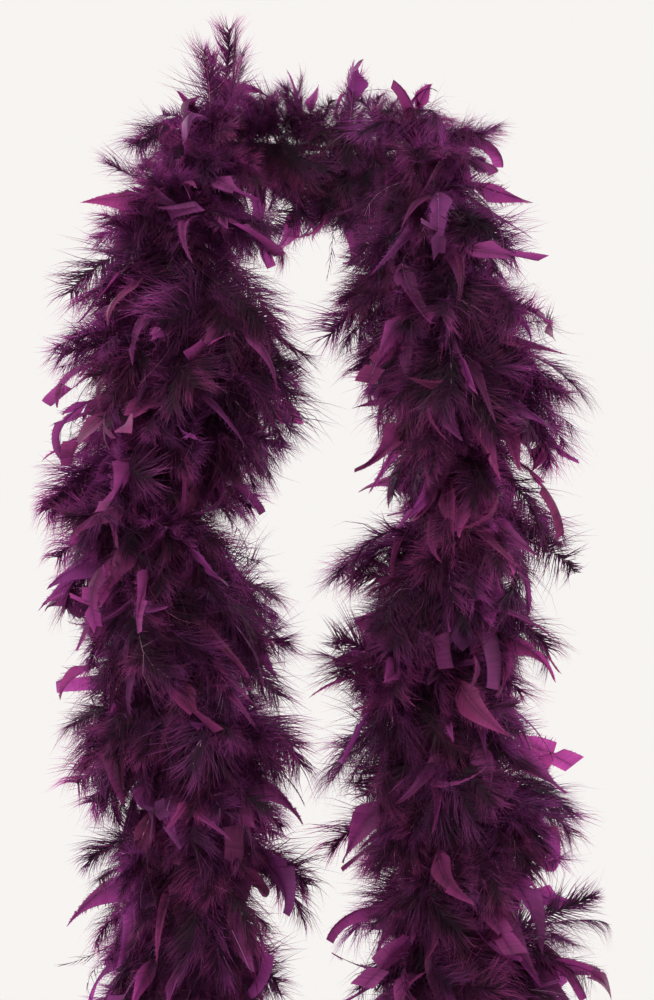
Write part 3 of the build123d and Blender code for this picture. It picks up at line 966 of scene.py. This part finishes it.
# binding thread: a few turns round the string at every tuft
for body in ORDER:
    f = Proto()
    corners = [p for p in ROUTE[1:-1]]
    tie_g = np.random.default_rng(900 + ORDER.index(body))
    for p in corners:
        sc = nearest_s(p)
        if not SPANS[body][0] <= sc < SPANS[body][1]:
            continue
        turns, n = 7, 7 * 12 + 1
        u = np.linspace(0, 1, n)
        s_line = sc + (u - 0.5) * 0.0085
        c = at(s_line)
        tan = along(s_line)
        e1 = unit(np.cross(tan, np.array([[0.3, 0.8, 0.5]])))
        e2 = np.cross(tan, e1)
        th = (2 * math.pi * turns * u + tie_g.uniform(0, 6))[:, None]
        rr = 0.00235 + 0.00012 * np.sin(9.0 * u + tie_g.uniform(0, 6))[:, None]
        f.add(*tube_along(c + rr * (e1 * np.cos(th) + e2 * np.sin(th)), 0.00040, 5, 0.02, 0.98))
    ob = mesh_of(f.done(), "thread_" + body)
    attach(ob, body)
    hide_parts(*nodes_of(body, "binding_thread"))
    threads.append(ob)

# knots that stop the tufts, and the small hanging loops
for side, s_end, back in (("left", 0.0, 0.004), ("right", LENGTH, -0.004)):
    body = f"{side}_tail_end"
    low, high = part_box(f"end_knot_{side}")
    mid = np.array([(low[k] + high[k]) / 2 for k in range(3)])
    u = np.linspace(0, 2 * math.pi, 150, endpoint=False)
    u = np.append(u, u[0] + 2 * math.pi)
    # an overhand knot pulled small, standing along the string
    kx, ky, kz = np.sin(u) + 2 * np.sin(2 * u), np.cos(u) - 2 * np.cos(2 * u), -np.sin(3 * u)
    knot = np.stack([kx * 0.00078, ky * 0.00078, kz * 0.0022], -1) + mid
    f = Proto()
    f.add(*tube_along(knot, 0.00155, 10, 0.02, 0.60, closed_ends=False))
    u = np.linspace(-1, 1, 24)
    f.add(*tube_along(mid + np.stack([0 * u, 0 * u, 0.0043 * u], -1), 0.0016, 10, 0.64, 0.98))
    ob = mesh_of(f.done(), f"knot_{side}")
    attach(ob, body)
    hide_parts(f"end_knot_{side}")
    strings.append((ob, None))
    low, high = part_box(f"end_loop_{side}")
    cx, cy = (low[0] + high[0]) / 2, (low[1] + high[1]) / 2
    wide, tall = (high[0] - low[0]) / 2 - 0.001, high[2] - low[2]
    h = np.linspace(0, 1, 60)
    w = np.where(h < 0.5, 1, -1) * np.sin(np.pi * np.clip(np.minimum(h, 1 - h) * 2, 0, 1) ** 0.9) ** 0.7
    shape = np.stack([cx + wide * np.sin(np.pi * 2 * h) * 0.98 * np.abs(np.sin(np.pi * h)) ** 0.25, np.full(60, cy),
                      high[2] - 0.0004 - (tall - 0.0016) * np.sin(np.pi * h) ** 0.8], -1)
    ob = mesh_of(two_ply(shape, gap=0.00052, radius=0.00050, pitch=0.0045, sides=8), f"loop_{side}")
    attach(ob, body)
    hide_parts(f"end_loop_{side}")
    strings.append((ob, None))


def thread_material(name, dark, light, turns):
    m, nt = new_material(name)
    out = node(nt, "ShaderNodeOutputMaterial")
    uv = node(nt, "ShaderNodeUVMap", uv_map="OFBake")
    sep = node(nt, "ShaderNodeSeparateXYZ")
    nt.links.new(uv.outputs[0], sep.inputs[0])
    slant = math_node(nt, "MULTIPLY_ADD", sep.outputs[0], 26.0, math_node(nt, "MULTIPLY", sep.outputs[1], turns))
    ridge = math_node(nt, "MULTIPLY_ADD", math_node(nt, "SINE", math_node(nt, "MULTIPLY", slant, 6.2832)), 0.5, 0.5)
    co = node(nt, "ShaderNodeTexCoord")
    fuzz = node(nt, "ShaderNodeTexNoise")
    fuzz.inputs["Scale"].default_value = 900
    fuzz.inputs["Detail"].default_value = 3
    nt.links.new(co.outputs["Object"], fuzz.inputs["Vector"])
    both = math_node(nt, "MULTIPLY_ADD", fuzz.outputs[0], 0.55, math_node(nt, "MULTIPLY", ridge, 0.45))
    col = ramp(nt, both, [(0.15, dark), (0.85, light)])
    bsdf = node(nt, "ShaderNodeBsdfPrincipled")
    nt.links.new(col, bsdf.inputs["Base Color"])
    nt.links.new(math_node(nt, "MULTIPLY_ADD", both, -0.15, 0.85), bsdf.inputs["Roughness"])
    bsdf.inputs["Specular IOR Level"].default_value = 0.2
    bsdf.inputs["Sheen Weight"].default_value = 0.08
    bsdf.inputs["Sheen Tint"].default_value = (0.7, 0.3, 0.6, 1)
    bump = node(nt, "ShaderNodeBump")
    bump.inputs["Strength"].default_value = 0.7
    bump.inputs["Distance"].default_value = 0.00025
    nt.links.new(both, bump.inputs["Height"])
    nt.links.new(bump.outputs[0], bsdf.inputs["Normal"])
    nt.links.new(bsdf.outputs[0], out.inputs[0])
    return m


STRING = thread_material("dyed_string", (0.016, 0.003, 0.012), (0.060, 0.012, 0.045), 160)
THREAD = thread_material("dyed_thread", (0.018, 0.003, 0.013), (0.070, 0.014, 0.052), 60)
for ob, _ in strings:
    ob.data.materials.append(STRING)
for ob in threads:
    ob.data.materials.append(THREAD)
for o in frame["nodes"].values():
    for sl in o.material_slots:
        sl.link = "OBJECT"
        sl.material = THREAD

# ------------------------------------------------------------------ stage, light
bpy.ops.mesh.primitive_circle_add(vertices=128, radius=2.7, fill_type="NGON", location=(0, 0, -1.45))
floor = bpy.context.object
floor.name = "floor"
fm, fnt = new_material("pale_floor")
fo = node(fnt, "ShaderNodeOutputMaterial")
fb = node(fnt, "ShaderNodeBsdfDiffuse")
fb.inputs["Color"].default_value = (0.80, 0.78, 0.765, 1)
fe = node(fnt, "ShaderNodeEmission")
fe.inputs["Color"].default_value = (0.93, 0.905, 0.885, 1)
fc = node(fnt, "ShaderNodeTexCoord")
fl = node(fnt, "ShaderNodeVectorMath", operation="LENGTH")
fnt.links.new(fc.outputs["Object"], fl.inputs[0])
fr = node(fnt, "ShaderNodeMapRange", interpolation_type="SMOOTHSTEP")
fr.inputs["From Min"].default_value = 0.5
fr.inputs["From Max"].default_value = 2.5
fnt.links.new(fl.outputs["Value"], fr.inputs["Value"])
fx = node(fnt, "ShaderNodeMixShader")
fnt.links.new(fr.outputs[0], fx.inputs[0])
fnt.links.new(fb.outputs[0], fx.inputs[1])
fnt.links.new(fe.outputs[0], fx.inputs[2])
fnt.links.new(fx.outputs[0], fo.inputs[0])
floor.data.materials.append(fm)
floor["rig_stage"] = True

world = bpy.data.worlds.new("studio")
scene.world = world
world.use_nodes = True
wnt = world.node_tree
soft = wnt.nodes["Background"]
soft.inputs[0].default_value = (0.93, 0.905, 0.885, 1)
soft.inputs[1].default_value = 0.64
seen = wnt.nodes.new("ShaderNodeBackground")
seen.inputs[0].default_value = (0.93, 0.905, 0.885, 1)
seen.inputs[1].default_value = 1.0
ray = wnt.nodes.new("ShaderNodeLightPath")
pick_bg = wnt.nodes.new("ShaderNodeMixShader")
wnt.links.new(ray.outputs["Is Camera Ray"], pick_bg.inputs[0])
wnt.links.new(soft.outputs[0], pick_bg.inputs[1])
wnt.links.new(seen.outputs[0], pick_bg.inputs[2])
wnt.links.new(pick_bg.outputs[0], wnt.nodes["World Output"].inputs[0])


def area(name, loc, target, size, power, color=(1, 1, 1)):
    d = bpy.data.lights.new(name, "AREA")
    d.shape = "RECTANGLE"
    d.size, d.size_y = size
    d.energy = power
    d.color = color
    o = bpy.data.objects.new(name, d)
    scene.collection.objects.link(o)
    o.location = loc
    o.rotation_euler = (Vector(target) - Vector(loc)).to_track_quat("-Z", "Y").to_euler()
    return o


MID = (0.0, -0.1, -0.32)
area("key", (-0.9, -1.7, 1.35), MID, (1.1, 1.1), 75)
area("fill", (1.8, -1.7, 0.1), MID, (1.2, 1.6), 20)
area("back_left", (-1.7, 1.5, 0.5), MID, (1.6, 1.6), 70)
area("back_right", (1.7, 1.5, 0.3), MID, (1.6, 1.6), 70)
scene.view_settings.view_transform = "Standard"
scene.view_settings.look = "None"

low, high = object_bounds()
tris = sum(len(o.data.loops) - 2 * len(o.data.polygons) for o, b, k, p in made)
print("LENGTH", round(LENGTH, 4), "pieces", len(made), "triangles", tris,
      "largest", max(len(o.data.loops) - 2 * len(o.data.polygons) for o, b, k, p in made))
